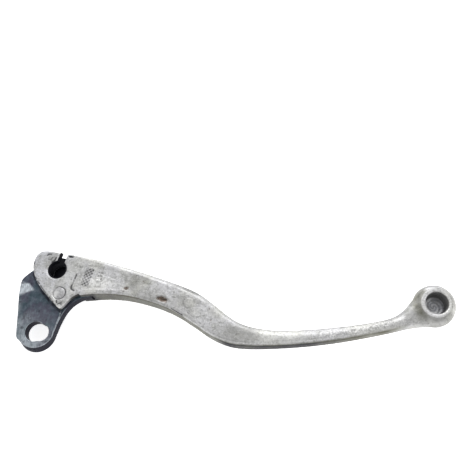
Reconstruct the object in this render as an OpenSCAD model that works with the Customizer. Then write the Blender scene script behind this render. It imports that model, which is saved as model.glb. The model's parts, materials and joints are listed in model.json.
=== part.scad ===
// Two-piece motorcycle clutch lever, left hand, lying with its underside up.
// Origin: centre of the pivot hole, half way through the pivot arm. +X runs along the lever to the
// ball end, +Y points forward, away from the handlebar, and +Z along the pivot axis, out of the underside.

/* [Pivot arm] */
// Thickness of the steel pivot arm
arm_t = 5; // [4.8:0.05:5.1]
// Diameter of the pivot hole
pivot_d = 9.4; // [8:0.1:10]
// Diameter of the eye round the pivot hole
eye_d = 18.2; // [17:0.1:19]
// Diameter of the worn hollow beside the pivot hole
worn_d = 6.6; // [4:0.1:6.6]
// Distance along the lever from the pivot axis to the axis of the worn hollow
worn_shift = 3.3; // [3:0.1:3.5]
// Distance that the worn hollow's axis lies to the rear of the pivot axis
worn_drop = 0.9; // [0:0.1:1]

/* [Hinge rivet] */
// Rivet centre, along the lever from the pivot
rivet_x = 10; // [9.5:0.1:10.5]
// Rivet centre, forward of the pivot
rivet_y = 18; // [17.5:0.1:18.5]
// Rivet diameter
rivet_d = 5.9; // [5:0.1:6.4]
// Height of each domed rivet end above its ear
rivet_dome = 0.4; // [0.2:0.05:0.8]
// Radial running clearance between rivet and arm
rivet_play = 0.05; // [0.02:0.01:0.1]

/* [Fork head] */
// Thickness of the head across both ears
head_t = 10.6; // [10:0.1:12]
// Gap between the two ears
fork_gap = 5.2; // [5.2:0.05:5.6]
// Cable nipple centre, along the lever from the pivot
nipple_x = 7.2; // [6.9:0.1:7.5]
// Cable nipple centre, forward of the pivot
nipple_y = 29.9; // [29.7:0.1:30.2]
// Inside diameter of the nipple bush
nipple_d = 8.2; // [8.1:0.05:8.4]
// Wall and floor thickness of the nipple bush
bush_wall = 0.4; // [0.3:0.05:0.5]
// Thickness of aluminium left behind the bush
ear_skin = 1.2; // [1:0.1:1.4]
// Width of the wire slot in the upper ear
slot_w = 3.6; // [3:0.1:3.8]
// Direction of the wire slot, in degrees from +X
slot_dir = 74; // [70:1:80]

/* [Ball end] */
// Ball centre, along the lever from the pivot
ball_x = 185; // [184:0.1:186]
// Ball centre, forward of the pivot
ball_y = 14.7; // [14:0.1:15.5]
// Ball diameter
ball_d = 19.4; // [19:0.1:21]
// Thickness of the ball across its flats
ball_t = 11.2; // [10:0.1:12]
// Diameter of each flat on the ball
flat_d = 13.2; // [12:0.1:14]
// Diameter of the blind hole in the ball
ball_hole_d = 9.9; // [8:0.1:11]
// Hole centre, along the lever from the pivot
ball_hole_x = 185.4; // [184.6:0.1:185.6]
// Hole centre, forward of the pivot
ball_hole_y = 14.9; // [14.4:0.1:15.2]
// Depth of the blind hole's straight wall
ball_hole_depth = 7; // [4:0.1:8]
// Height of the cone that the drill leaves below that wall
drill_cone = 1.5; // [0.5:0.1:2.5]

/* [Hidden] */
$fn = 96;
over = 0.5; // how far a cut runs past the face that it opens
touch = 0.01; // overlap of two cuts that meet

rivet_at = [rivet_x, rivet_y];
nipple_at = [nipple_x, nipple_y];
socket_r = nipple_d / 2 + bush_wall;
socket_floor = ear_skin - head_t / 2;
knuckle_r = 6.8; // arm round the rivet
knuckle_play = 0.3; // gap between that knuckle and the fork's root
cradle_play = 0.9; // gap between the bush and the arm when the blade is folded
fold_max = 12; // degrees that the blade folds forward about the rivet
fork_end_x = 25.2; // end of the gap between the ears
tail_end_x = 24.6; // end of the arm's tail in that gap
stop_gap = 0.03; // gap at rest between the tail and the stop face above it
stop_from = [16, 21.9]; // inner end of the stop face
stop_slope = -0.1;
slot_reach = 14; // from the nipple's centre out past the head's edge
lip_from = socket_r - 1; // inner end of the bush's lip, which starts inside the cup's wall
lip_t = bush_wall + 0.8;
lip_length = 5.2;

// Blade sections: [x, front edge y, rear edge y, thickness, front bevel, rear bevel]
sections = [
    [20, 36.5, 16.8, 10.6, 0.6, 0.5],
    [32, 33.6, 17.7, 10.6, 1.1, 0.7],
    [44, 30.4, 16.6, 10.5, 1.6, 0.8],
    [56, 26.7, 13.6, 10.2, 1.9, 0.8],
    [66, 23.4, 9.5, 9.9, 2, 0.8],
    [76, 19.3, 3.4, 9.6, 2.2, 0.8],
    [84, 13.9, -1.8, 9.4, 2.3, 0.9],
    [92, 7.6, -4.9, 9.2, 2.1, 1],
    [100, 3.8, -5.8, 9, 2, 1.2],
    [112, 2, -5.6, 8.8, 2.4, 1.4],
    [128, 2.6, -4.3, 8.6, 2.6, 1.4],
    [144, 4.3, -2, 8.4, 2.4, 1.4],
    [158, 6.5, 0.8, 8.3, 2, 1.4],
    [166, 8.8, 2.6, 8.6, 2.4, 1.6],
    [171, 12.2, 3.9, 9.2, 3, 2],
    [175, 16.8, 4.7, 9.8, 3.6, 2.4],
    [180, 20.6, 5.3, 9.8, 4.5, 3],
    [185, 22, 5.6, 9.6, 5, 3.2],
];
front_drop = 0.6; // drop of the front bevel for each millimetre of its width
rear_drop = 0.9; // the same for the rear bevel
ring_steps = 3; // rings made between each pair of sections
rim_step = 7.5; // degrees between the points of the ball's rim
dome_step = 15; // degrees between the points of a rivet end

// Part of a circle, as points from angle a0 to angle a1
function arc(centre, r, a0, a1, steps) =
    [
        for (i = [0 : steps])
            let (a = a0 + (a1 - a0) * i / steps)
            centre + r * [cos(a), sin(a)],
    ];

// One point of a Catmull-Rom curve, from p1 at t = 0 to p2 at t = 1
function curve_point(p0, p1, p2, p3, t) =
    0.5 * (2 * p1 + (p2 - p0) * t + (2 * p0 - 5 * p1 + 4 * p2 - p3) * t * t
        + (3 * p1 - p0 - 3 * p2 + p3) * t * t * t);

// A smooth curve through all of p, with a number of steps between each pair
function smooth(p, steps) =
    let (last = len(p) - 1)
    [
        for (i = [0 : last - 1], k = [0 : steps - 1])
            curve_point(p[max(i - 1, 0)], p[i], p[i + 1], p[min(i + 2, last)], k / steps),
        p[last],
    ];

// One cross-section of the blade: an eight-sided ring, flat on both faces and both edges
function ring(s) =
    let (
        front = s[1], rear = s[2], top = s[3] / 2,
        front_in = front - s[4], front_top = top - front_drop * s[4],
        rear_in = rear + s[5], rear_top = top - rear_drop * s[5]
    )
    [
        for (p = [
            [front, -front_top], [front, front_top], [front_in, top], [rear_in, top],
            [rear, rear_top], [rear, -rear_top], [rear_in, -top], [front_in, -top],
        ]) [s[0], p[0], p[1]],
    ];

// The solid that joins a list of rings
module skin(rings) {
    n = len(rings[0]);
    last = len(rings) - 1;
    points = [for (r = rings, p = r) p];
    sides = [
        for (i = [0 : last - 1], j = [0 : n - 1])
            let (next = (j + 1) % n)
            each [
                [i * n + j, (i + 1) * n + next, i * n + next],
                [i * n + j, (i + 1) * n + j, (i + 1) * n + next],
            ],
    ];
    start_cap = [[for (j = [0 : n - 1]) j]];
    end_cap = [[for (j = [n - 1 : -1 : 0]) last * n + j]];
    polyhedron(points, concat(start_cap, sides, end_cap));
}

// Outline of the head, ears and V tip
function head_outline() = concat(
    smooth([
        [-4.6, 29], [-5.3, 32.4], [-4.6, 36.6], [-2.4, 39.1],
        [1, 39.6], [6.5, 38.8], [13.6, 37.6], [22, 35.9],
    ], 5),
    [[34, 26]],
    smooth([[24, 18.2], [20, 17.8], [16.8, 16.3], [14.2, 13.8], [11.8, 10.7]], 4),
    arc([11.2, 10.8], 0.5, -30, -140, 4),
    smooth([[9.2, 11.8], [5.6, 15.2], [0.6, 20.4], [-2.6, 24.8], [-4.6, 29]], 5)
);

// Height of the fork's stop face, which bears down on the arm's tail when the lever is pulled
function stop_y(x) = stop_from.y + stop_slope * (x - stop_from.x);

// Outline of the gap between the ears, from its root outwards
function fork_outline() = concat(
    [[-20, 45], [13.4, 45], [13.4, 26]],
    arc(rivet_at, knuckle_r + knuckle_play, 60, 36, 4),
    [stop_from, [fork_end_x, stop_y(fork_end_x)], [fork_end_x, 5], [-20, 5]]
);

// Outline of the steel arm: eye, forked tail, knuckle, cradle for the nipple bush, and horn
function arm_outline() =
    let (
        reach = nipple_at - rivet_at,
        folded = atan2(reach.y, reach.x) + fold_max,
        cradle_at = rivet_at + norm(reach) * [cos(folded), sin(folded)]
    )
    concat(
        arc([0, 0], eye_d / 2, 186, 352, 24),
        smooth([[10.2, 3.4], [11.6, 7.4], [13.4, 10.9], [16.2, 14], [20, 16.4], [tail_end_x, 17.2]], 4),
        [[tail_end_x, stop_y(tail_end_x) - stop_gap], stop_from - [0, stop_gap]],
        arc(rivet_at, knuckle_r, 40, 120, 12),
        arc(cradle_at, socket_r + cradle_play, 290, 190, 10),
        smooth([
            [-2.4, 30.8], [-4.2, 31.4], [-6.2, 30.2], [-9.6, 27.1], [-10.9, 25], [-11.2, 22], [-11, 18],
        ], 4)
    );

// Flattened ball: straight flats joined by a rounded rim
module ball_body() {
    rim = [
        for (a = [-90 : rim_step : 90])
            [flat_d / 2 + (ball_d - flat_d) / 2 * cos(a), ball_t / 2 * sin(a)],
    ];
    translate([ball_x, ball_y, 0])
        rotate_extrude()
            polygon(concat([[0, -ball_t / 2]], rim, [[0, ball_t / 2]]));
}

module ball_hole() {
    floor_z = ball_t / 2 - ball_hole_depth;
    translate([ball_hole_x, ball_hole_y, floor_z])
        cylinder(d = ball_hole_d, h = ball_hole_depth + over);
    translate([ball_hole_x, ball_hole_y, floor_z - drill_cone])
        cylinder(r1 = 0, r2 = ball_hole_d / 2, h = drill_cone + touch);
}

// Straight-sided slot from the nipple centre out through the ear's edge
module wire_slot(width, z0, z1) {
    translate([nipple_x, nipple_y, z0])
        rotate(slot_dir)
            translate([0, -width / 2, 0])
                cube([slot_reach, width, z1 - z0]);
}

module lever_blade() {
    color("silver")
        difference() {
            union() {
                linear_extrude(head_t, center = true)
                    polygon(head_outline());
                skin([for (s = smooth(sections, ring_steps)) ring(s)]);
                ball_body();
            }
            linear_extrude(fork_gap, center = true)
                polygon(fork_outline());
            translate([nipple_x, nipple_y, socket_floor])
                cylinder(r = socket_r, h = head_t);
            wire_slot(slot_w, 0, head_t);
            translate([rivet_x, rivet_y, -head_t])
                cylinder(d = rivet_d, h = 2 * head_t);
            ball_hole();
        }
}

module pivot_arm() {
    color("dimgray")
        difference() {
            linear_extrude(arm_t, center = true)
                polygon(arm_outline());
            translate([0, 0, -arm_t])
                cylinder(d = pivot_d, h = 2 * arm_t);
            translate([worn_shift, -worn_drop, -arm_t])
                cylinder(d = worn_d, h = 2 * arm_t);
            translate([rivet_x, rivet_y, -arm_t])
                cylinder(r = rivet_d / 2 + rivet_play, h = 2 * arm_t);
        }
}

module hinge_rivet() {
    half = head_t / 2;
    dome = [for (a = [0 : dome_step : 90]) [rivet_d / 2 * cos(a), half + rivet_dome * sin(a)]];
    color("lightgray")
        translate([rivet_x, rivet_y, 0])
            rotate_extrude()
                polygon(concat(
                    [for (i = [len(dome) - 1 : -1 : 0]) [dome[i][0], -dome[i][1]]],
                    dome
                ));
}

// Cup for the cable nipple. Its side is open between the ears, where the wire leaves.
module nipple_bush() {
    half_gap = fork_gap / 2;
    color([0.08, 0.08, 0.09])
        difference() {
            union() {
                translate([nipple_x, nipple_y, socket_floor])
                    cylinder(r = socket_r, h = head_t / 2 - socket_floor);
                bush_lip();
            }
            translate([nipple_x, nipple_y, socket_floor + bush_wall])
                cylinder(d = nipple_d, h = head_t);
            wire_slot(slot_w - 2 * bush_wall, half_gap - over, head_t);
            translate([nipple_x, nipple_y, -half_gap])
                linear_extrude(fork_gap)
                    polygon(concat([[0, 0]], arc([0, 0], 2 * socket_r, 60, 205, 12)));
        }
}

// Lip of the bush that lines one side of the wire slot and stands just above the ear's edge
module bush_lip() {
    translate([nipple_x, nipple_y, fork_gap / 2])
        rotate(slot_dir)
            translate([lip_from, slot_w / 2 - lip_t, 0])
                cube([lip_length, lip_t, head_t / 2 - fork_gap / 2]);
}

lever_blade();
pivot_arm();
hinge_rivet();
nipple_bush();
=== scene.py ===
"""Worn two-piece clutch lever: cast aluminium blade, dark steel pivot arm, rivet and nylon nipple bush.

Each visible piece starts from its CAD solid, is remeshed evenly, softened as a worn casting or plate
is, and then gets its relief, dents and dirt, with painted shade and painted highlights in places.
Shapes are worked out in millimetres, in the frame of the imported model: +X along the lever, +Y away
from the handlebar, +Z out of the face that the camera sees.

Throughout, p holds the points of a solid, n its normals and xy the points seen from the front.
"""

import json
import math

import bpy
import numpy as np
from mathutils import Matrix, Vector


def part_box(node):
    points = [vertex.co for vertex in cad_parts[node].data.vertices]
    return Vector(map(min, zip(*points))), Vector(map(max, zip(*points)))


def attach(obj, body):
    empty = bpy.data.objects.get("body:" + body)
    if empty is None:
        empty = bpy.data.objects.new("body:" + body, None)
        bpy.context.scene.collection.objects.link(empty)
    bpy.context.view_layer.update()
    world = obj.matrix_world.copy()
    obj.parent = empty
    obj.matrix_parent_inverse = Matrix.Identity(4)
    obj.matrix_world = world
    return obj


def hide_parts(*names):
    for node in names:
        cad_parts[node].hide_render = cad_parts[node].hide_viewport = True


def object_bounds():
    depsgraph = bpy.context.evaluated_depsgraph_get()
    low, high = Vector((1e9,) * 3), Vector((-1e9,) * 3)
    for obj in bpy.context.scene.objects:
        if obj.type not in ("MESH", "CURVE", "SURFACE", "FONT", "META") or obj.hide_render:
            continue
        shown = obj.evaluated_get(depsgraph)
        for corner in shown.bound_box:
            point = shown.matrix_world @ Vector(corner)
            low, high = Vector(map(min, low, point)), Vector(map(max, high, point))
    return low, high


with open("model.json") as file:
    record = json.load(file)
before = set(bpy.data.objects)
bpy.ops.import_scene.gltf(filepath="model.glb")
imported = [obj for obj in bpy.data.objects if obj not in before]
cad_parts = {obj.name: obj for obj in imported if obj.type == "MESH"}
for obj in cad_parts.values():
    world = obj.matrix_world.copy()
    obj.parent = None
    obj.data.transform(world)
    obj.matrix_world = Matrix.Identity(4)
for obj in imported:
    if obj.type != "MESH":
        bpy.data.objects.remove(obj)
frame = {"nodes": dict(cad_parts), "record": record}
cad_low, cad_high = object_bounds()

MM = 0.001
MOUNTS = {m["name"]: m for m in frame["record"]["mounts"]}


def box_mm(node):
    """Lowest and highest corner of a CAD node, in millimetres."""
    low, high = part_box(node)
    return np.array(low) / MM, np.array(high) / MM


RIVET_LOW, RIVET_HIGH = box_mm("hinge_rivet")
RIVET = (RIVET_LOW + RIVET_HIGH)[:2] / 2
RIVET_R = (RIVET_HIGH - RIVET_LOW)[0] / 2
NIPPLE = np.array(MOUNTS["nipple_socket"]["pos_m"])[:2] / MM
ARM_TOP = box_mm("pivot_arm")[1][2]

# Numbers of the CAD part: head, gap between the ears, wire slot and ball end
HEAD_TOP = 5.3
HEAD_POINT = np.array([11.2, 10.6])
EAR_GAP = 5.2
FORK_END_X = 25.2
SLOT_W = 3.6
SLOT_DIRECTION = 74
BALL = np.array([185.0, 14.7])
BALL_TOP = box_mm("lever_blade")[1][2]
BALL_HOLE = np.array([185.4, 14.9])
BALL_HOLE_R = 4.95

# To the right of this X, the gap between the ears lies behind this Y
FORK_ROOT_X, FORK_FRONT_Y = 13.4, 28

# Reach from the ball's top past the hole's floor, and radius of the ball's flat, which has no stains
BALL_HOLE_REACH = 9
BALL_CLEAN_R = 6.7


# ------------------------------------------------------------------ number helpers


def smoothstep(low, high, value):
    """0 below low, 1 above high, and a smooth rise between."""
    t = np.clip((value - low) / (high - low), 0, 1)
    return t * t * (3 - 2 * t)


def plateau(value, start, full, fade, end):
    """0 up to start, 1 from full to fade, and 0 again past end."""
    return smoothstep(start, full, value) * (1 - smoothstep(fade, end, value))


def lattice_noise(points, size, seed):
    """Smooth noise from -1 to 1 that varies over about size millimetres."""
    q = points / size + seed * 17.13
    cell = np.floor(q).astype(np.int64)
    t = q - cell
    t = t * t * (3 - 2 * t)
    total = np.zeros(len(points))
    for corner in np.ndindex(2, 2, 2):
        c = cell + corner
        h = c[:, 0] * 73856093 ^ c[:, 1] * 19349663 ^ c[:, 2] * 83492791 ^ seed * 2654435
        h = (h ^ h >> 13) * 1274126177 & 0x7FFFFFFF
        weight = np.prod(np.where(corner, t, 1 - t), axis=1)
        total += weight * ((h >> 8) % 65536 / 32767.5 - 1)
    return total


def turbulence(points, size, seed, octaves=3):
    """Several sizes of smooth noise added up, from about -1 to 1."""
    layers = [lattice_noise(points, size / 2**k, seed + k) / 2**k for k in range(octaves)]
    return sum(layers) / sum(1 / 2**k for k in range(octaves))


def ruffle(points, size, seed, noise=lattice_noise):
    """Noise in X and Y, to make the rim of a mark ragged."""
    return np.stack([noise(points, size, seed), noise(points, size, seed + 1)], axis=1)


def distance_to_line(xy, line):
    """Distance from each point to an open line through the given corners."""
    best = np.full(len(xy), np.inf)
    for a, b in zip(line[:-1], line[1:]):
        a, d = np.array(a), np.subtract(b, a)
        t = np.clip((xy - a) @ d / max(d @ d, 1e-9), 0, 1)
        best = np.minimum(best, np.linalg.norm(xy - a - t[:, None] * d, axis=1))
    return best


def inside_outline(xy, outline):
    """True for each point inside a closed outline."""
    hit = np.zeros(len(xy), bool)
    for a, b in zip(outline, outline[1:] + outline[:1]):
        crosses = (a[1] > xy[:, 1]) != (b[1] > xy[:, 1])
        with np.errstate(divide="ignore", invalid="ignore"):
            at = a[0] + (xy[:, 1] - a[1]) * (b[0] - a[0]) / (b[1] - a[1])
        hit ^= crosses & (xy[:, 0] < at)
    return hit


def depth_inside(xy, outline):
    """Distance from a closed outline, above 0 inside it and below 0 outside."""
    edge = distance_to_line(xy, outline + outline[:1])
    return np.where(inside_outline(xy, outline), edge, -edge)


def stroke(xy, line, width):
    """1 along a line, falling to 0 at the edge of a stroke of that width."""
    return 1 - smoothstep(0.25 * width, 0.5 * width, distance_to_line(xy, line))


def disc(xy, centre, radius, soft=0.3):
    """1 inside a round spot, falling to 0 over soft millimetres at its rim."""
    r = np.linalg.norm(xy - centre, axis=1)
    return 1 - smoothstep(radius - soft, radius + soft, r)


def turned(xy, degrees):
    """Distances along and across a direction given in degrees from +X."""
    a = math.radians(degrees)
    return xy @ np.array([[math.cos(a), -math.sin(a)], [math.sin(a), math.cos(a)]])


def bearing(xy):
    """Direction of each point from the origin, in radians from +X."""
    return np.arctan2(xy[:, 1], xy[:, 0])


def ellipse(xy, centre, half_length, half_width, degrees, soft=0.3):
    """1 inside a turned oval, falling to 0 at its rim."""
    q = turned(xy - centre, degrees)
    r = np.hypot(q[:, 0] / half_length, q[:, 1] / half_width)
    return 1 - smoothstep(1 - soft, 1 + soft, r)


def ring(xy, centre, radius, width):
    """1 on a circular line of that radius and width."""
    r = np.linalg.norm(xy - centre, axis=1)
    return 1 - smoothstep(0.25 * width, 0.5 * width, abs(r - radius))


# ------------------------------------------------------------------ mesh helpers


class Solid:
    """A closed mesh as arrays: points in millimetres, faces, edges and masks for its material."""

    def __init__(self, mesh):
        self.mesh = mesh
        self.points = np.empty(len(mesh.vertices) * 3)
        mesh.vertices.foreach_get("co", self.points)
        self.points = self.points.reshape(-1, 3) / MM
        self.edges = np.empty(len(mesh.edges) * 2, np.int64)
        mesh.edges.foreach_get("vertices", self.edges)
        self.edges = self.edges.reshape(-1, 2)
        self.degree = np.bincount(self.edges.ravel(), minlength=len(self.points))
        self.masks = {}

    def normals(self):
        """Unit normal at each point."""
        self.write()
        n = np.empty(len(self.points) * 3)
        self.mesh.vertices.foreach_get("normal", n)
        return n.reshape(-1, 3)

    def write(self):
        """Puts the points back into the mesh."""
        self.mesh.vertices.foreach_set("co", (self.points * MM).ravel())
        self.mesh.update()

    def around(self, values):
        """Mean of each point's neighbours."""
        a, b = self.edges.T
        total = np.stack(
            [
                np.bincount(a, values[b, k], len(values)) + np.bincount(b, values[a, k], len(values))
                for k in range(values.shape[1])
            ],
            axis=1,
        )
        return total / self.degree[:, None]

    def soften(self, rounds, amount=0.6):
        """Rounds edges off. amount may be one number or one for each point."""
        share = np.broadcast_to(amount, len(self.points))[:, None]
        for _ in range(rounds):
            self.points += share * (self.around(self.points) - self.points)

    def bulge(self, rounds=4):
        """How far each point stands out of its surroundings: above 0 on edges, below 0 in hollows."""
        offset = self.points - self.around(self.points)
        out = np.sum(offset * self.normals(), axis=1)[:, None]
        for _ in range(rounds):
            out = 0.4 * out + 0.6 * self.around(out)
        return out[:, 0]

    def push(self, depth):
        """Moves each point out along its normal by that many millimetres."""
        self.points += self.normals() * depth[:, None]

    def keep_in(self, low, high):
        """Keeps every point inside the CAD node's box."""
        self.points = np.clip(self.points, low, high)


def even_solid(node, voxel):
    """A CAD node's shape as an even mesh of quads about voxel millimetres wide."""
    temp = bpy.data.objects.new("even", frame["nodes"][node].data.copy())
    bpy.context.scene.collection.objects.link(temp)
    change = temp.modifiers.new("even", "REMESH")
    change.mode = "VOXEL"
    change.voxel_size = voxel * MM
    dg = bpy.context.evaluated_depsgraph_get()
    mesh = bpy.data.meshes.new_from_object(temp.evaluated_get(dg))
    bpy.data.objects.remove(temp)
    return Solid(mesh)


def show(solid, name, node, body, material):
    """Makes the finished solid a visible piece that stands for its CAD node."""
    solid.keep_in(*box_mm(node))
    solid.write()
    mesh = solid.mesh
    mesh.name = name
    for mask, values in solid.masks.items():
        layer = mesh.attributes.new(mask, "FLOAT", "POINT")
        layer.data.foreach_set("value", np.clip(values, 0, 1).astype(np.float32))
    mesh.shade_smooth()
    mesh.materials.clear()
    mesh.materials.append(material)
    obj = bpy.data.objects.new(name, mesh)
    bpy.context.scene.collection.objects.link(obj)
    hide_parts(node)
    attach(obj, body)


# ------------------------------------------------------------------ material helpers


class Shader:
    """A node material with one Principled surface."""

    def __init__(self, name):
        self.material = bpy.data.materials.new(name)
        self.material.use_nodes = True
        self.tree = self.material.node_tree
        self.surface = self.tree.nodes["Principled BSDF"]
        self.place = self.tree.nodes.new("ShaderNodeTexCoord").outputs["Object"]

    def node(self, kind, inputs=None, **settings):
        """Adds a node, sets its options, and links or sets its inputs."""
        made = self.tree.nodes.new(kind)
        for key, value in settings.items():
            setattr(made, key, value)
        for key, value in (inputs or {}).items():
            self.join(value, made.inputs[key])
        return made

    def join(self, value, socket):
        """Links a node's output to the socket, or sets the socket to a plain value."""
        if isinstance(value, bpy.types.NodeSocket):
            self.tree.links.new(value, socket)
        else:
            socket.default_value = value

    def set(self, **inputs):
        """Sets the surface's inputs; underscores stand for spaces."""
        for key, value in inputs.items():
            self.join(value, self.surface.inputs[key.replace("_", " ")])

    def noise(self, size_mm, detail=4.0, stretch=(1, 1, 1), roughness=0.55):
        """Noise whose cells are about size_mm wide, from 0 to 1."""
        scaled = self.node(
            "ShaderNodeMapping", {"Vector": self.place, "Scale": [s / (size_mm * MM) for s in stretch]}
        ).outputs["Vector"]
        made = self.node(
            "ShaderNodeTexNoise", {"Vector": scaled, "Scale": 1.0, "Detail": detail, "Roughness": roughness}
        )
        return made.outputs["Fac"]

    def mask(self, name):
        """One of the piece's own masks."""
        return self.node("ShaderNodeAttribute", attribute_name=name).outputs["Fac"]

    def ramp(self, value, low, high, out_low=0.0, out_high=1.0):
        """Maps value from low..high to out_low..out_high, held at both ends."""
        inputs = {"Value": value, "From Min": low, "From Max": high, "To Min": out_low, "To Max": out_high}
        return self.node("ShaderNodeMapRange", inputs, interpolation_type="SMOOTHSTEP").outputs["Result"]

    def math(self, operation, a, b):
        """One sum, product or comparison of two values."""
        made = self.node("ShaderNodeMath", operation=operation)
        self.join(a, made.inputs[0])
        self.join(b, made.inputs[1])
        return made.outputs["Value"]

    def blend(self, share, a, b):
        """Colour a where share is 0 and colour b where it is 1."""
        made = self.node("ShaderNodeMix", data_type="RGBA")
        self.join(share, made.inputs[0])
        self.join(a, made.inputs[6])
        self.join(b, made.inputs[7])
        return made.outputs[2]

    def bump(self, *layers):
        """Bump from (height, depth in millimetres) pairs, one after another."""
        normal = None
        for height, depth in layers:
            inputs = {"Height": height, "Distance": depth * MM, "Strength": 1.0}
            if normal is not None:
                inputs["Normal"] = normal
            normal = self.node("ShaderNodeBump", inputs).outputs["Normal"]
        self.set(Normal=normal)


# ------------------------------------------------------------------ materials


# Cast aluminium
COOL_CAST = (0.56, 0.56, 0.575, 1)
WARM_CAST = (0.58, 0.58, 0.545, 1)
PALE_CAST = (0.66, 0.67, 0.73, 1)
DULL_CAST = (0.34, 0.34, 0.325, 1)
DARK_SPECK = (0.22, 0.22, 0.215, 1)
BRIGHT_GRAIN = (0.84, 0.84, 0.83, 1)
BRIGHT_SCRATCH = (0.85, 0.85, 0.84, 1)
BEATEN_LOW = (0.34, 0.34, 0.34, 1)
BEATEN_HIGH = (0.88, 0.88, 0.88, 1)
POLISHED_AND_HIGHLIGHT_CAST = (0.9, 0.9, 0.89, 1)

# What lies on the aluminium, and the painted shade on it
OLIVE_STAIN_AND_SHADE = (0.16, 0.156, 0.113, 1)
DARK_OLIVE_STAIN_AND_SHADE = (0.09, 0.09, 0.067, 1)
SOOT_AND_SHADE = (0.035, 0.035, 0.043, 1)
GRIME_AND_SHADE = (0.018, 0.018, 0.021, 1)
RUST_DARK = (0.05, 0.04, 0.033, 1)
RUST_LIGHT = (0.19, 0.14, 0.11, 1)

# Steel arm
STEEL_BLUE = (0.06, 0.09, 0.112, 1)
STEEL_VIOLET = (0.084, 0.084, 0.118, 1)
STEEL_PALE = (0.12, 0.15, 0.185, 1)
STEEL_DARK = (0.03, 0.038, 0.045, 1)
STEEL_PIT = (0.022, 0.024, 0.03, 1)
STEEL_BRIGHT = (0.68, 0.74, 0.79, 1)
STEEL_GRIME_AND_SHADE = (0.024, 0.024, 0.034, 1)

# Rivet
RIVET_PALE = (0.5, 0.5, 0.51, 1)
RIVET_DENT = (0.34, 0.34, 0.35, 1)
RIVET_GRAIN = (0.75, 0.75, 0.75, 1)
RIVET_HIGHLIGHT_COLOUR = (0.88, 0.88, 0.87, 1)

# Bush
NYLON_BLACK = (0.012, 0.012, 0.016, 1)
NYLON_GREASE = (0.02, 0.02, 0.025, 1)

# How much of its metal look a surface keeps where dirt and painted shade cover it, and the gloss left there
CLEAN_GLOSS, DIRT_AND_SHADE_GLOSS = 0.5, 0.03


def metal_under_dirt_and_shade(s, dirt_and_shade, metallic):
    """Metal where the surface is clean, a dull film where dirt and painted shade are 1."""
    s.set(Metallic=s.ramp(dirt_and_shade, 0, 1, metallic, 0))
    s.set(Specular_IOR_Level=s.ramp(dirt_and_shade, 0, 1, CLEAN_GLOSS, DIRT_AND_SHADE_GLOSS))


def worn_aluminium():
    """Bare casting, mottled and scratched, with tarnish, soot, dirt and rust, and with painted shade and
    painted highlights, where its masks put them.
    """
    s = Shader("worn_cast_aluminium")
    broad = s.noise(13, 3)
    patch = s.noise(3.6, 6, roughness=0.65)
    grain = s.noise(0.75, 3, roughness=0.7)
    specks = s.noise(1.1, 4, roughness=0.7)
    scratches = s.noise(0.45, 2, stretch=(0.1, 1, 1))
    colour = s.blend(s.ramp(broad, 0.38, 0.62), COOL_CAST, WARM_CAST)
    colour = s.blend(s.mask("pale"), colour, PALE_CAST)
    colour = s.blend(s.ramp(patch, 0.42, 0.68, 0, 0.75), colour, DULL_CAST)
    colour = s.blend(s.ramp(specks, 0.5, 0.7, 0, 0.75), colour, DARK_SPECK)
    colour = s.blend(s.ramp(grain, 0.48, 0.7, 0, 0.6), colour, BRIGHT_GRAIN)
    colour = s.blend(s.ramp(scratches, 0.6, 0.74, 0, 0.3), colour, BRIGHT_SCRATCH)
    beaten = s.blend(s.ramp(grain, 0.4, 0.6), BEATEN_LOW, BEATEN_HIGH)
    colour = s.blend(s.mask("beaten"), colour, beaten)
    # Olive stains, and olive painted shade on the rear wall
    olive_stain_and_shade = s.blend(s.ramp(patch, 0.3, 0.7), OLIVE_STAIN_AND_SHADE, DARK_OLIVE_STAIN_AND_SHADE)
    colour = s.blend(s.mask("tarnish_and_shade"), colour, olive_stain_and_shade)
    # Soot, and painted shade darkening the rear wall and the front faces
    colour = s.blend(s.mask("soot_and_shade"), colour, SOOT_AND_SHADE)
    # Polish, and painted highlights on the rear ridge, the panel and the head's edge
    bright = s.math("MULTIPLY", s.mask("polish_and_highlight"), s.ramp(specks, 0.35, 0.6, 1, 0.4))
    colour = s.blend(bright, colour, POLISHED_AND_HIGHLIGHT_CAST)
    # Dirt, and painted shade in the fork, the slot, the ball's hole and beside the arm
    colour = s.blend(s.mask("grime_and_shade"), colour, GRIME_AND_SHADE)
    rust = s.blend(s.ramp(grain, 0.4, 0.6), RUST_DARK, RUST_LIGHT)
    colour = s.blend(s.mask("rust"), colour, rust)
    rough = s.ramp(grain, 0.3, 0.7, 0.4, 0.58)
    rough = s.math("ADD", rough, s.ramp(s.mask("grime_and_shade"), 0, 1, 0, 0.25))
    s.set(Base_Color=colour, Roughness=rough)
    metal_under_dirt_and_shade(s, s.math("MAXIMUM", s.mask("grime_and_shade"), s.mask("soot_and_shade")), 0.7)
    s.bump((patch, 0.12), (specks, 0.1), (grain, 0.07), (scratches, 0.02))
    return s.material


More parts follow.
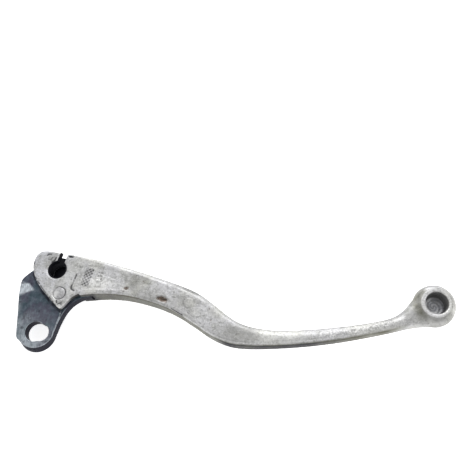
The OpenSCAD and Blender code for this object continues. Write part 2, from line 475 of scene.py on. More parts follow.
def dark_steel():
    """Oxidised steel plate, blue to violet, rubbed bright in patches, and dirty and darkened with painted
    shade at its sides.
    """
    s = Shader("dark_worn_steel")
    broad = s.noise(8, 4)
    patch = s.noise(2.4, 5, roughness=0.7)
    grain = s.noise(0.6, 4)
    scratches = s.noise(0.4, 2, stretch=(1, 0.15, 1))
    colour = s.blend(s.ramp(broad, 0.42, 0.58), STEEL_BLUE, STEEL_VIOLET)
    colour = s.blend(s.ramp(patch, 0.42, 0.68, 0, 0.9), colour, STEEL_PALE)
    colour = s.blend(s.ramp(patch, 0.28, 0.42, 0.8, 0), colour, STEEL_DARK)
    colour = s.blend(s.ramp(grain, 0.6, 0.75, 0, 0.6), colour, STEEL_PIT)
    bright = s.math("MULTIPLY", s.mask("polish_and_highlight"), s.ramp(scratches, 0.3, 0.6, 0.5, 1))
    bright = s.math("MULTIPLY", bright, s.ramp(patch, 0.35, 0.6, 0.75, 1))
    colour = s.blend(bright, colour, STEEL_BRIGHT)
    # Dirt, and painted shade on the arm's sides and beside the blade's ear
    colour = s.blend(s.mask("grime_and_shade"), colour, STEEL_GRIME_AND_SHADE)
    s.set(Base_Color=colour, Roughness=s.ramp(grain, 0.3, 0.7, 0.36, 0.55))
    metal_under_dirt_and_shade(s, s.mask("grime_and_shade"), 0.75)
    s.bump((patch, 0.1), (grain, 0.05), (scratches, 0.02))
    return s.material


def peened_steel():
    """Dented rivet head, grainy, with a painted highlight on one side."""
    s = Shader("peened_rivet_steel")
    dents = s.noise(1.1, 3)
    grain = s.noise(0.4, 3, roughness=0.7)
    colour = s.blend(s.ramp(dents, 0.4, 0.65), RIVET_PALE, RIVET_DENT)
    colour = s.blend(s.ramp(grain, 0.5, 0.7, 0, 0.5), colour, RIVET_GRAIN)
    # Painted highlight on one side of the head
    colour = s.blend(s.mask("polish_and_highlight"), colour, RIVET_HIGHLIGHT_COLOUR)
    s.set(Base_Color=colour, Metallic=0.7, Roughness=s.ramp(grain, 0.3, 0.7, 0.42, 0.56))
    s.bump((dents, 0.1), (grain, 0.03))
    return s.material


def black_nylon():
    """Moulded black nylon with grease smeared over it."""
    s = Shader("greasy_black_nylon")
    smear = s.noise(2.0, 3)
    grain = s.noise(0.25, 3)
    colour = s.blend(s.ramp(smear, 0.45, 0.75), NYLON_BLACK, NYLON_GREASE)
    s.set(Base_Color=colour, Roughness=s.ramp(smear, 0.3, 0.7, 0.6, 0.8), Specular_IOR_Level=0.05)
    s.bump((grain, 0.01))
    return s.material


def pale_floor():
    """Matt white floor with a glow of its own, so that it stays plain."""
    s = Shader("pale_floor")
    s.set(Base_Color=(0.93, 0.93, 0.93, 1), Roughness=0.9, Specular_IOR_Level=0.1)
    s.set(Emission_Color=(1, 1, 1, 1), Emission_Strength=0.7)
    return s.material


# ------------------------------------------------------------------ lever blade: tables

BLADE_VOXEL = 0.34

# Sunk panel in the visible face
PANEL = [
    (15.6, 19.8), (16.2, 25), (17.4, 28.8), (20.5, 31.8), (24, 32.2), (38.5, 28.9),
    (41.6, 26.8), (42.2, 23.8), (40.8, 20.8), (38.5, 19.9), (28, 20.1), (17.6, 19.6),
]
PANEL_DEPTH = 0.13

# Raised marks in the panel: a hatched block, a crossed ring and three dots
BLOCK_CORNER = (19.7, 22.0)
BLOCK_ALONG, BLOCK_ACROSS = np.array([0.235, 0.972]), np.array([0.972, -0.235])
BLOCK_LENGTH, BLOCK_WIDTH = 9.5, 4.0
HATCH_RADIANS_PER_MM = 3.5
RING_MARK, RING_MARK_R = np.array([28.6, 25.7]), 1.7
DOTS = [(33.2, 25.3), (34.6, 24.9), (36.0, 24.6)]
MARK_HEIGHT = 0.22

# Dark scored lines on the face: (corners, width, depth, how broken), in millimetres
SCORES = [
    ([(16.9, 19.3), (15.5, 20.1), (15.4, 21.4)], 1.1, 0.28, 0),
    ([(15.4, 21.3), (16.0, 23.0), (17.2, 27.6)], 0.8, 0.22, 0.45),
    ([(18.3, 31.0), (19.6, 31.1)], 0.55, 0.15, 0),
    ([(28.0, 28.5), (31.2, 27.9)], 0.5, 0.1, 0.8),
    ([(1.2, 37.1), (2.0, 37.9), (3.1, 37.6)], 1.0, 0.2, 0.2),
    ([(2.0, 35.2), (3.2, 34.8), (4.1, 36.1)], 0.8, 0.18, 0.4),
    ([(4.0, 33.6), (5.2, 34.6), (5.8, 35.9)], 1.1, 0.25, 0.1),
    ([(-4.0, 36.4), (-4.5, 35.2), (-4.8, 32.8), (-4.8, 30.8)], 0.7, 0.2, 0.9),
    ([(-4.6, 29.7), (-3.1, 27.0)], 0.7, 0.25, 0.7),
    ([(10.9, 12.8), (12.0, 12.5)], 0.7, 0.15, 0.3),
    ([(9.1, 14.3), (9.5, 13.1)], 0.9, 0.25, 0),
    ([(10.0, 12.6), (11.9, 13.5)], 0.8, 0.15, 0.3),
    ([(64.6, 11.0), (69.9, 8.0)], 0.6, 0.2, 0),
    ([(72, 9.5), (76, 6.4), (79, 3.5)], 0.3, 0.03, 1),
    ([(46.5, 26.6), (47.3, 27.5), (48.0, 26.0)], 0.4, 0.08, 0.5),
    ([(72.6, 20.8), (77.6, 17.6)], 0.45, 0.15, 0.6),
    ([(-3.3, 26.6), (-1.4, 23.7), (0.9, 20.8), (2.2, 19.4)], 0.8, 0.3, 0.9),
    ([(2.2, 19.2), (4.2, 17.1), (6.6, 14.7)], 0.9, 0.3, 0.5),
    ([(6.6, 14.7), (9.2, 11.8)], 0.5, 0.15, 0.5),
]

# How strongly dirt fills a score
SCORE_DIRT = 0.9

# Nick in the front edge: (centre, half length, half width, angle), and its depth
NOTCH = ((13.1, 36.5), 1.4, 0.55, -8)
NOTCH_DEPTH = 0.5

# Rusty pits: (centre, half length, half width, angle, depth, rust)
PITS = [
    ((59.9, 15.5), 2.5, 1.3, -15, 0.4, 1.0),
    ((58.2, 15.8), 1.2, 0.8, -10, 0.15, 0.9),
    ((61.7, 14.4), 0.6, 1.1, -10, 0.15, 0.5),
    ((42.1, 20.6), 1.1, 0.9, 20, 0.2, 0.9),
    ((41.2, 19.0), 0.5, 0.4, 0, 0.1, 0.6),
    ((50.2, 24.1), 0.35, 0.3, 0, 0.1, 0.7),
    ((12.5, 19.6), 0.5, 0.4, 0, 0.1, 0.5),
    ((82.2, 11.0), 0.4, 0.4, 0, 0.1, 0.6),
    ((83.3, 5.8), 0.4, 0.4, 0, 0.1, 0.6),
]

# Rings that ejector pins left, on the visible face and on the hidden one
EJECTOR = np.array([72.3, 13.9])
FAR_EJECTORS = [(24, 27), (58, 18.5), (84, 4)]
EJECTOR_R, EJECTOR_LINE, EJECTOR_DEPTH = 2.5, 0.5, 0.08

# Middle of the hammered band on the grip
HAMMERED = np.array([(134, 0.3), (144, 1.2), (158, 3.9), (166, 6.0), (172, 8.4)])
HAMMER_BLOWS, POCKS, FAR_DENTS = 60, 300, 160

# Painted highlights on the bead along the head's edges: (centre, radius)
EDGE_BEAD_HIGHLIGHTS = [
    ((-4.2, 27.5), 0.5),
    ((-3.2, 25.2), 0.7),
    ((-2.1, 24.1), 0.5),
    ((0.2, 21.6), 0.4),
    ((2.7, 18.2), 0.5),
    ((4.6, 16.1), 0.6),
    ((6.2, 15.1), 0.5),
    ((8.3, 13.1), 0.45),
    ((11.4, 11.1), 0.6),
    ((14.6, 14.6), 0.5),
]

# Painted highlight on the panel, a pool of light: (centre, half length, half width, angle)
PANEL_HIGHLIGHT = ((28.5, 23.4), 7.5, 2.9, -6)

# Dull stains: (centre, half length, half width, angle, strength)
STAINS = [
    ((4, 36.5), 7, 3.5, 0, 0.25),
    ((3, 36.4), 2.2, 1.3, 30, 0.35),
    ((-2.6, 34.5), 1.4, 3, -15, 0.25),
    ((2.5, 23.5), 3, 1.2, -50, 0.2),
    ((8.8, 24.2), 3.5, 2, 10, 0.12),
    ((1.5, 32.5), 1.6, 3, -20, 0.22),
    ((13, 32), 4, 4, 0, 0.15),
    ((46, 23), 4, 5, 0, 0.4),
    ((50.5, 24.6), 3, 1.6, -20, 0.4),
    ((52, 17.5), 9, 3, -18, 0.32),
    ((70, 13), 6, 4, -35, 0.2),
    ((97, -0.5), 11, 4.5, 0, 0.4),
    ((178.3, 14.5), 4.6, 8, 10, 0.9),
    ((173.5, 9.5), 3, 3, 0, 0.35),
    ((186, 7.2), 9, 3.2, 0, 0.5),
    ((180, 8.5), 3, 2.5, 0, 0.35),
]

# Strength of the dark line along the front edge, by place along the lever
EDGE_DARKENING = (
    (40, 58, 66, 70, 75, 77, 87, 91, 102, 110, 160, 164, 170, 174),
    (0.0, 0.15, 0.25, 0.6, 0.65, 0.12, 0.05, 0.22, 0.22, 0.05, 0.05, 0.3, 0.3, 0.0),
)

# Direction that the head's wall beside the arm faces
FLANK_FACING = np.array([-0.74, -0.68])

# Directions towards the side of the rivet's groove and of the ball's hole that is darkened as painted shade
GROOVE_SHADED_SIDE = np.array([0.75, 0.66])
HOLE_SHADED_SIDE = np.array([0.8, 0.6])

# How tightly the tool marks on the hole's floor are wound
SWIRL_RADIANS_PER_MM = 4.2


# ------------------------------------------------------------------ lever blade: relief


class Relief:
    """Height, dirt and rust that marks give to each point of a face."""

    def __init__(self, count):
        self.height, self.grime_and_shade, self.rust = np.zeros((3, count))

    def soil(self, amount):
        """Leaves at least that much dirt."""
        self.grime_and_shade = np.maximum(self.grime_and_shade, amount)

    def sink(self, mark, depth, grime_and_shade=0.0, rust=0.0):
        """Presses a mark in, and leaves dirt or rust in it."""
        self.height = self.height - depth * mark
        self.soil(grime_and_shade * mark)
        self.rust = np.maximum(self.rust, rust * mark)


def casting_marks(xy):
    """Raised marks in the panel, and the area of the hatched block."""
    along, across = (xy - BLOCK_CORNER) @ BLOCK_ALONG, (xy - BLOCK_CORNER) @ BLOCK_ACROSS
    block = plateau(along, 0, 0.3, BLOCK_LENGTH - 0.3, BLOCK_LENGTH)
    block = block * plateau(across, -0.2, 0.1, BLOCK_WIDTH - 0.3, BLOCK_WIDTH)
    waves = [np.sin(way * HATCH_RADIANS_PER_MM) for way in (along + across, along - across)]
    hatching = block * smoothstep(0.55, 0.95, np.maximum(*waves))
    cross = smoothstep(0.8, 0.95, abs(np.cos(2 * bearing(xy - RING_MARK))))
    spokes = disc(xy, RING_MARK, RING_MARK_R - 0.2, 0.1) * cross
    dots = [disc(xy, dot, 0.4, 0.2) for dot in DOTS]
    return np.maximum.reduce([hatching, ring(xy, RING_MARK, RING_MARK_R, 0.6), spokes, *dots]), block


def press_panel(relief, p):
    """The panel with its worn marks, and the dirt among them."""
    relief.sink(smoothstep(-0.4, 0.7, depth_inside(p[:, :2], PANEL)), PANEL_DEPTH)
    marks, block = casting_marks(p[:, :2])
    relief.sink(marks, -MARK_HEIGHT)
    relief.soil(block * (1 - marks) * (0.75 + 0.35 * lattice_noise(p, 1.5, 75)))
    hollow = disc(p[:, :2], RING_MARK, RING_MARK_R + 0.4, 0.3) * (1 - marks)
    relief.soil(0.55 * hollow * smoothstep(-0.5, 0.4, lattice_noise(p, 1.5, 77)))


def press_scores(relief, p):
    """Scored lines, rusty pits and the nick."""
    for k, (line, width, depth, broken) in enumerate(SCORES):
        kept = 1 - broken + broken * smoothstep(-0.3, 0.2, lattice_noise(p, 0.9, 80 + k))
        relief.sink(stroke(p[:, :2], line, width) * kept, depth, SCORE_DIRT)
    ragged = p[:, :2] + 0.25 * ruffle(p, 0.9, 91)
    for centre, half_length, half_width, angle, depth, rust in PITS:
        relief.sink(ellipse(ragged, centre, half_length, half_width, angle), depth, rust=rust)
    relief.sink(ellipse(p[:, :2], *NOTCH), NOTCH_DEPTH, 1.0)


def press_rings(relief, xy):
    """The groove round the rivet, darker on one side as painted shade, and the ejector's ring, dirtier on
    one side.
    """
    # Painted shade: the rivet's groove is darker on one side
    shaded_side = smoothstep(-1, 2.5, (xy - RIVET) @ GROOVE_SHADED_SIDE)
    relief.sink(ring(xy, RIVET, RIVET_R + 0.1, 0.45), 0.03 + 0.07 * shaded_side, 0.05 + 0.55 * shaded_side)
    lower_left = smoothstep(-0.5, 2.5, np.sum(EJECTOR - xy, axis=1))
    relief.sink(ring(xy, EJECTOR, EJECTOR_R, EJECTOR_LINE), EJECTOR_DEPTH, 0.4 * lower_left)


def press_blows(relief, xy):
    """Hammer marks on the grip and small pocks all over."""
    rng = np.random.default_rng(7)
    for _ in range(HAMMER_BLOWS):
        x = rng.uniform(132, 170)
        y = np.interp(x, HAMMERED[:, 0], HAMMERED[:, 1]) + rng.normal(0, 1)
        half_length, half_width = rng.uniform(0.5, 1.3), rng.uniform(0.3, 0.7)
        mark = ellipse(xy, (x, y), half_length, half_width, rng.uniform(0, 180), 0.5)
        relief.sink(mark, rng.uniform(0.04, 0.12))
    for _ in range(POCKS):
        centre = (rng.uniform(-4, 190), rng.uniform(-6, 40))
        mark = disc(xy, centre, rng.uniform(0.1, 0.3), 0.15)
        relief.sink(mark, rng.uniform(0.03, 0.08), rng.uniform(0.1, 0.5))


def near_face_relief(solid):
    """Works the relief into the visible face, and gives its dirt and rust."""
    p, n = solid.points, solid.normals()
    upper = smoothstep(0.15, 0.5, n[:, 2]) * (p[:, 2] > 2)
    relief = Relief(len(p))
    press_panel(relief, p)
    press_scores(relief, p)
    press_rings(relief, p[:, :2])
    press_blows(relief, p[:, :2])
    solid.points[:, 2] += upper * relief.height
    return upper * relief.grime_and_shade, upper * relief.rust


def far_face_relief(solid):
    """Works ejector rings and dents into the hidden face, and gives its dirt."""
    p, n = solid.points, solid.normals()
    xy = p[:, :2]
    lower = smoothstep(0.3, 0.7, -n[:, 2]) * (p[:, 2] < -2)
    relief = Relief(len(p))
    for centre in FAR_EJECTORS:
        relief.sink(ring(xy, centre, EJECTOR_R, EJECTOR_LINE), EJECTOR_DEPTH, 0.35)
    rng = np.random.default_rng(11)
    for _ in range(FAR_DENTS):
        centre = (rng.uniform(-4, 190), rng.uniform(-6, 38))
        half_length, half_width = rng.uniform(0.15, 0.7), rng.uniform(0.1, 0.3)
        mark = ellipse(xy, centre, half_length, half_width, rng.uniform(0, 180), 0.5)
        relief.sink(mark, rng.uniform(0.03, 0.1), rng.uniform(0.1, 0.6))
    solid.points[:, 2] -= lower * relief.height
    return lower * relief.grime_and_shade


# ------------------------------------------------------------------ lever blade: looks


def inside_fork(p):
    """True in the gap between the two ears."""
    between = (abs(p[:, 2]) < EAR_GAP / 2 + 0.25) & (p[:, 0] < FORK_END_X + 0.5)
    return between & ((p[:, 0] < FORK_ROOT_X + 0.5) | (p[:, 1] < FORK_FRONT_Y))


def inside_slot(p):
    """True on the upper ear's walls along the slot for the cable's wire."""
    along, across = turned(p[:, :2] - NIPPLE, SLOT_DIRECTION).T
    beside = (along > 3) & (abs(across) < SLOT_W / 2 + 0.3)
    return beside & (p[:, 2] > 0) & (p[:, 2] < HEAD_TOP - 0.35)


def flank_grime_and_shade(p, n):
    """Patchy dirt and painted shade on the head's wall beside the arm."""
    wall = smoothstep(0.72, 0.92, n[:, :2] @ FLANK_FACING) * (1 - smoothstep(11, 15, p[:, 0]))
    wall = wall * plateau(p[:, 1], 10, 12, 28, 36)
    return wall * np.clip(0.75 + 0.6 * lattice_noise(p, 1.1, 25), 0, 1)


def ball_hole(p, n, blotch):
    """The hole in the ball end: where it is, its floor, its dirt with painted shade, and the crests of its
    swirl, brightened as painted highlight on the lit side.
    """
    xy = p[:, :2] - BALL_HOLE
    r = np.linalg.norm(xy, axis=1)
    below_top = BALL_TOP - p[:, 2]
    inside = (r < BALL_HOLE_R + 0.15) & (below_top > 0.4) & (below_top < BALL_HOLE_REACH)
    floor = smoothstep(0.55, 0.8, n[:, 2]) * inside
    spiral = SWIRL_RADIANS_PER_MM * r + 2 * bearing(xy)
    swirl = 0.5 + 0.5 * np.sin(spiral + 2 * turbulence(p, 2, 23))
    # Painted shade: the hole's walls are darkened with its dirt, and the floor darker towards one side
    shaded_side = smoothstep(-1.5, 4, xy @ HOLE_SHADED_SIDE)
    cleaned = (0.45 + 0.5 * swirl * (0.9 + 1.2 * blotch)) * (1 - 0.6 * shaded_side)
    # Painted highlight: the swirl's crests are bright away from the shaded side
    crest = floor * smoothstep(0.45, 0.85, swirl * (0.9 + 0.8 * blotch)) * (1 - 0.8 * shaded_side)
    return inside, floor, inside * (0.7 - floor * cleaned), crest


def blade_soot_and_shade(p, n, blotch):
    """Painted shade on the rear wall and over the front faces, and darker under the head and along the
    front edge.
    """
    along, forward = p[:, 0], n[:, 1]
    low = 1 - smoothstep(-3, 2, p[:, 2])
    # Painted shade: the rear wall darkens along the bend, more on its lower half, and near the head
    bend_shade = (0.85 + 0.2 * low) * plateau(along, 80, 92, 120, 158)
    head_end_shade = (0.3 + 0.15 * (1 - smoothstep(30, 46, along))) * (along < 90)
    rear_shade = np.maximum(bend_shade, head_end_shade) * smoothstep(0.72, 0.92, -forward)
    rear_shade = rear_shade * (0.95 + 0.4 * turbulence(p, 8, 35))
    under_head = smoothstep(0.5, 0.8, -forward) * (1 - smoothstep(25, 33, along)) * (along > 9.5)
    under_head = under_head * (0.75 + 0.35 * blotch)
    # Painted shade dims the front faces; the front edge is darker by place along the lever
    edge = smoothstep(0.3, 0.5, forward) * np.interp(along, *EDGE_DARKENING)
    front = np.maximum(0.55 * smoothstep(0.6, 0.78, forward), edge) * (p[:, 2] > 0)
    front = front * (0.85 + 0.4 * turbulence(p, 4, 33))
    return np.maximum.reduce([rear_shade, under_head, front])


def blade_stains_and_shade(p, n, blotch):
    """Olive painted shade on the rear wall, and dull stains."""
    # Painted shade: the rear wall gets an olive darkening
    olive_shade = smoothstep(0.55, 0.85, -n[:, 1]) * (1 - smoothstep(160, 176, p[:, 0]))
    olive_shade = olive_shade * (0.95 + 0.3 * turbulence(p, 6, 31))
    ragged = p[:, :2] + 1.2 * ruffle(p, 3, 93, turbulence)
    stains = np.max([strength * ellipse(ragged, *place, 0.45) for *place, strength in STAINS], axis=0)
    off_flat = np.linalg.norm(p[:, :2] - BALL, axis=1) > BALL_CLEAN_R
    return np.maximum(olive_shade, stains * off_flat * (0.8 + 0.4 * blotch))


def blade_polish_and_highlight(p, n, bulge, grime_and_shade, soot_and_shade, blotch):
    """Metal that rubbing keeps bright on edges, the grip and the ball's rim, with painted highlights on the
    rear ridge, part of the panel and beads on the head's edge.
    """
    xy, along, up = p[:, :2], p[:, 0], n[:, 2]
    edges = smoothstep(0.012, 0.04, bulge) * (0.55 + 0.45 * turbulence(p, 3, 41)) * (1 - soot_and_shade)
    edges = edges * (1 - 0.6 * (up < -0.5))
    # Painted highlight: a light line on the rear bevel along the grip
    ridge_highlight = plateau(-n[:, 1], 0.2, 0.32, 0.42, 0.55) * (up > 0) * plateau(along, 60, 80, 150, 165)
    ridge_highlight = ridge_highlight * (0.9 + 0.5 * turbulence(p, 5, 43))
    handled = plateau(along, 98, 108, 115, 129) * smoothstep(0.6, 0.9, up)
    handled = handled * (0.9 + 0.4 * turbulence(p, 4, 47))
    # Painted highlight: a pool of light on the panel
    panel_highlight = ellipse(xy, *PANEL_HIGHLIGHT, 0.5) * smoothstep(0.6, 0.9, up) * (p[:, 2] > 0)
    panel_highlight = panel_highlight * (1 - grime_and_shade) * (0.9 + 0.3 * blotch)
    rim = ring(xy, BALL, 5.9, 2.2) * smoothstep(0.7, 0.9, up) * (p[:, 2] > BALL_TOP - 1)
    # Painted highlights: bright spots on the bead of the head's edge
    spots = np.max([disc(xy, centre, radius, 0.4) for centre, radius in EDGE_BEAD_HIGHLIGHTS], axis=0)
    spots = spots * smoothstep(0.0, 0.4, up) * (grime_and_shade < 0.3)
    return np.maximum.reduce([edges, 0.8 * ridge_highlight, 0.5 * handled, 0.95 * panel_highlight, 0.5 * rim, spots])


def beaten_band(p, n):
    """The band of hammer marks on the grip, weaker towards the ball."""
    band = 1 - smoothstep(0.4, 2.4, distance_to_line(p[:, :2], HAMMERED))
    return band * smoothstep(0.1, 0.6, n[:, 2]) * (1 - 0.5 * smoothstep(158, 172, p[:, 0]))


def pale_head(p):
    """The head is paler than the grip, most of all at its left end."""
    pale = 0.45 * (1 - smoothstep(12, 24, p[:, 0])) + 0.35 * (1 - smoothstep(0, 5, p[:, 0]))
    return pale * (0.8 + 0.5 * turbulence(p, 5, 45))


def soften_blade(solid):
    """Rounds the casting's edges: the grip's most, those of the head's point least."""
    grip = smoothstep(60, 110, solid.points[:, 0])
    crisp = disc(solid.points[:, :2], HEAD_POINT, 3, 1.5)
    solid.soften(6, (0.4 + 0.2 * grip) * (1 - 0.7 * crisp))
    solid.soften(18, 0.6 * grip)


def blade():
    """The cast lever blade."""
    solid = even_solid("lever_blade", BLADE_VOXEL)
    soften_blade(solid)
    bulge = solid.bulge()
    marks_grime_and_shade, rust = near_face_relief(solid)
    far_grime = far_face_relief(solid)
    solid.soften(1, 0.3)
    p, n = solid.points, solid.normals()
    solid.push(turbulence(p, 9, 3) * 0.05 + turbulence(p, 2.2, 9) * 0.04)

    # One set of blotches breaks up several of the masks
    blotch = turbulence(p, 2.5, 21)
    in_fork = inside_fork(p)
    in_hole, floor, hole_grime_and_shade, crest = ball_hole(p, n, blotch)
    # The gap between the ears, the slot's walls and the head's wall beside the arm are darkened: painted
    # shade, with dirt
    dirt_and_shade = [marks_grime_and_shade, far_grime, in_fork, inside_slot(p), flank_grime_and_shade(p, n), hole_grime_and_shade]
    grime_and_shade = np.maximum.reduce(dirt_and_shade)
    soot_and_shade = blade_soot_and_shade(p, n, blotch)
    polish_and_highlight = blade_polish_and_highlight(p, n, bulge, grime_and_shade, soot_and_shade, blotch) * (1 - in_fork)
    solid.masks = {
        "grime_and_shade": grime_and_shade,
        "rust": rust,
        "pale": np.maximum(pale_head(p), floor),
        "tarnish_and_shade": blade_stains_and_shade(p, n, blotch),
        "soot_and_shade": soot_and_shade,
        "beaten": 0.5 * beaten_band(p, n),
        "polish_and_highlight": np.where(in_hole, crest, polish_and_highlight),
    }
    show(solid, "cast_blade", "lever_blade", "blade", worn_aluminium())


# ------------------------------------------------------------------ pivot arm

ARM_VOXEL = 0.2

# Bare patch behind the head, and chips in the eye's lower edge
WORN_PATCH = [
    (-11.8, 17.2), (-7.7, 18.9), (-4.0, 20.2), (-4.7, 22.2), (-6.6, 23.6), (-9.5, 24.4), (-11.9, 23.8),
]
CHIPS = [(-5.8, -6.5), (-4.4, -7.5), (-3.0, -7.6), (-1.5, -7.9), (0.4, -8.1)]

# Where dirt gathers and painted shade falls on the arm, along the edge of the blade's upper ear
GUTTER = [
    (-5.2, 28.5), (-3.2, 24.5), (0.1, 20.1), (5.2, 14.7),
    (8.9, 11.3), (11.3, 9.7), (12.7, 11.0), (15.8, 14.9),
]

# Right edge of the arm, rubbed to a bright line
RIGHT_EDGE = [(11.0, 9.8), (10.9, 7.6), (9.8, 3.5), (8.9, -0.9)]

# Hollow worn beside the pivot hole, and the eye's radius at its top and foot
WEAR_AT, WEAR_R = np.array([2.6, -0.4]), 4.1
EYE_TOP_R, EYE_FOOT_R = 7.7, 8.95


def eye_edge(xy):
    """Radius of the eye's upper edge, and how far wear has cut it back there: most below the hole."""
    turn = np.degrees(bearing(xy)) % 360
    return EYE_TOP_R + 1.4 * smoothstep(262, 362, turn), smoothstep(196, 222, turn)


def wear_arm(solid):
    """Widens the pivot hole towards the lever and tapers the eye's lower rim, as years of use did."""
    p = solid.points
    from_wear = p[:, :2] - WEAR_AT
    d = np.linalg.norm(from_wear, axis=1)
    p[:, :2] += np.where(d < WEAR_R, WEAR_R / d - 1, 0)[:, None] * from_wear
    r = np.linalg.norm(p[:, :2], axis=1)
    top, share = eye_edge(p[:, :2])
    limit = top + (np.maximum(EYE_FOOT_R, top) - top) * (ARM_TOP - p[:, 2]) / (2 * ARM_TOP)
    shrink = np.where(r > limit, limit / r - 1, 0) * share
    p[:, :2] *= 1 + shrink[:, None]


def bare_patch(p, face):
    """The streaky bare patch behind the head."""
    ragged = depth_inside(p[:, :2], WORN_PATCH) + 0.9 * turbulence(p, 2.5, 61)
    streaks = 0.85 + 1.2 * turbulence(p * (0.5, 1.6, 1), 1.6, 63)
    return smoothstep(-0.5, 0.9, ragged) * face * streaks


def rubbed_face(p, face):
    """Faint shine round the pivot hole and along the left side."""
    x, y = p[:, 0], p[:, 1]
    low_left = 1 - smoothstep(-8, 10, 0.6 * x + 0.9 * y)
    eye = plateau(np.hypot(x, y), 4.6, 5.6, 9.5, 12.5) * (0.05 + 0.65 * low_left)
    left_side = smoothstep(7.5, 10.5, -x) * (1 - smoothstep(13, 17, y))
    return np.maximum(eye, 0.35 * left_side) * face * (0.8 + 0.6 * turbulence(p, 2.5, 67))


def bright_lines(p):
    """Bright lines on the eye's worn rim and on the arm's right edge."""
    xy = p[:, :2]
    top, share = eye_edge(xy)
    rim = (1 - smoothstep(0.15, 0.45, abs(np.hypot(*xy.T) - top + 0.1))) * share
    return np.maximum(rim, stroke(xy, RIGHT_EDGE, 0.8)) * (0.8 + 0.5 * turbulence(p, 2, 65))


def pivot_arm():
    """The steel arm that turns on the perch's bolt."""
    solid = even_solid("pivot_arm", ARM_VOXEL)
    wear_arm(solid)
    solid.soften(4, 0.4)
    bulge = solid.bulge()
    p, n = solid.points, solid.normals()
    face = smoothstep(0.5, 0.85, n[:, 2])
    # Painted shade with dirt: the arm's sides are darkened
    side_dirt_and_shade = smoothstep(0.5, 0.8, 1 - abs(n[:, 2]))
    chips = np.max([disc(p[:, :2], chip, 0.5, 0.3) for chip in CHIPS], axis=0) * (p[:, 2] > 0)
    solid.push(turbulence(p, 6, 51) * 0.05 + turbulence(p, 1.3, 57) * 0.03 - 0.25 * chips)

    patch = bare_patch(p, face)
    lines = bright_lines(p) * (n[:, 2] > 0.3)
    edges = smoothstep(0.006, 0.02, bulge) * (1 - smoothstep(8, 14, p[:, 1]))
    edges = np.maximum(0.85 * edges, 0.8 * chips) * (n[:, 2] > 0.2)
    polish_and_highlight = np.maximum.reduce([patch, rubbed_face(p, face), lines, edges])
    # Painted shade with dirt along the edge of the blade's upper ear
    gutter = stroke(p[:, :2], GUTTER, 2.2) * face * (0.6 + 0.5 * lattice_noise(p, 1.3, 68))
    spots = 0.6 * smoothstep(0.15, 0.5, turbulence(p, 1.6, 69)) * face
    grime_and_shade = np.maximum.reduce([side_dirt_and_shade, gutter, spots])
    solid.masks = {"polish_and_highlight": polish_and_highlight * (1 - side_dirt_and_shade), "grime_and_shade": grime_and_shade * (1 - patch)}
    show(solid, "steel_pivot_arm", "pivot_arm", "arm", dark_steel())


# ------------------------------------------------------------------ rivet and bush

RIVET_VOXEL, BUSH_VOXEL = 0.12, 0.1

# Painted highlight on the rivet's heads: (centre, half length, half width, angle, softness)
RIVET_HIGHLIGHT_SPOT = (RIVET - (1.6, 0.7), 1.7, 1.1, 70, 0.6)


def rivet():
    """The rivet, with both heads dented by peening."""
    solid = even_solid("hinge_rivet", RIVET_VOXEL)
    solid.soften(6, 0.5)
    p = solid.points
    heads = smoothstep(4.6, 5.2, abs(p[:, 2]))
    solid.push(heads * (turbulence(p, 1.6, 71) * 0.06 - 0.08))
    # Painted highlight on the lower left of the rivet's heads
    painted_highlight = ellipse(p[:, :2], *RIVET_HIGHLIGHT_SPOT) * (0.8 + 0.5 * turbulence(p, 1, 73))
    solid.masks = {"polish_and_highlight": 0.8 * painted_highlight}
    show(solid, "peened_rivet", "hinge_rivet", "blade", peened_steel())


def bush():
    """The nylon bush for the cable's nipple."""
    solid = even_solid("nipple_bush", BUSH_VOXEL)
    solid.soften(3, 0.4)
    show(solid, "nylon_nipple_bush", "nipple_bush", "blade", black_nylon())


# ------------------------------------------------------------------ studio

# Camera: place in millimetres, turn about X and then about its own Y, and lens
CAMERA_AT = (116.2, -63.1, 266.0)
CAMERA_TILT = math.radians(23.08)
CAMERA_PAN = math.radians(4.67)
LENS_MM = 44.96
SENSOR_MM = 36.0

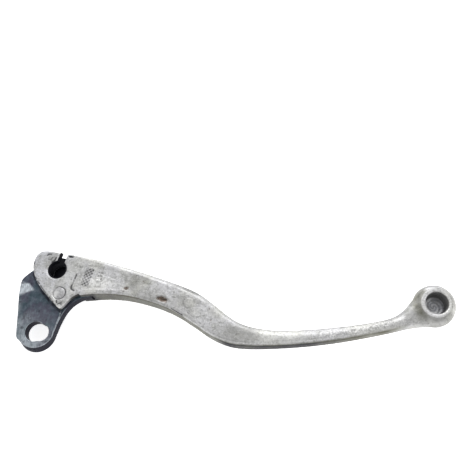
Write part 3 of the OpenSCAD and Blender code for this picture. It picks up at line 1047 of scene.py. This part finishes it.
# Lamps: name, place in metres, width in metres, power in watts
LAMPS = [
    ("back_window", (0.05, 0.95, 0.65), 0.9, 8),
    ("right_window", (1.1, -0.2, 0.5), 0.7, 2.5),
    ("left_window", (-0.7, -0.45, 0.45), 0.5, 1.6),
]
LAMP_AIM = Vector((0.09, 0.015, 0))
SKY_STRENGTH = 0.56
FLOOR_SIZE = 40.0


def make_camera():
    """The photo's camera, as fitted to the CAD part."""
    data = bpy.data.cameras.new("camera")
    data.sensor_width = SENSOR_MM
    data.lens = LENS_MM
    data.clip_start = 0.01
    camera = bpy.data.objects.new("camera", data)
    bpy.context.scene.collection.objects.link(camera)
    turn = Matrix.Rotation(CAMERA_TILT, 4, "X") @ Matrix.Rotation(CAMERA_PAN, 4, "Y")
    camera.matrix_world = Matrix.Translation(Vector(CAMERA_AT) * MM) @ turn
    bpy.context.scene.camera = camera


def make_floor():
    """A square floor under the lever's lowest point."""
    half = FLOOR_SIZE / 2
    corners = [(-half, -half, 0), (half, -half, 0), (half, half, 0), (-half, half, 0)]
    mesh = bpy.data.meshes.new("floor")
    mesh.from_pydata(corners, [], [(0, 1, 2, 3)])
    mesh.materials.append(pale_floor())
    floor = bpy.data.objects.new("floor", mesh)
    floor.location.z = cad_low[2]
    bpy.context.scene.collection.objects.link(floor)


def make_lamp(name, place, size, power):
    """A square lamp that faces the lever."""
    data = bpy.data.lights.new(name, "AREA")
    data.size = size
    data.energy = power
    lamp = bpy.data.objects.new(name, data)
    lamp.location = place
    lamp.rotation_euler = (LAMP_AIM - Vector(place)).to_track_quat("-Z", "Y").to_euler()
    bpy.context.scene.collection.objects.link(lamp)


def make_lights():
    """An even white sky and soft windows behind, right and left."""
    world = bpy.data.worlds.new("studio")
    world.use_nodes = True
    sky = world.node_tree.nodes["Background"]
    sky.inputs["Color"].default_value = (1, 1, 1, 1)
    sky.inputs["Strength"].default_value = SKY_STRENGTH
    bpy.context.scene.world = world
    for lamp in LAMPS:
        make_lamp(*lamp)
    bpy.context.scene.view_settings.view_transform = "Standard"


# ------------------------------------------------------------------ scene

make_camera()
blade()
pivot_arm()
rivet()
bush()
make_floor()
make_lights()
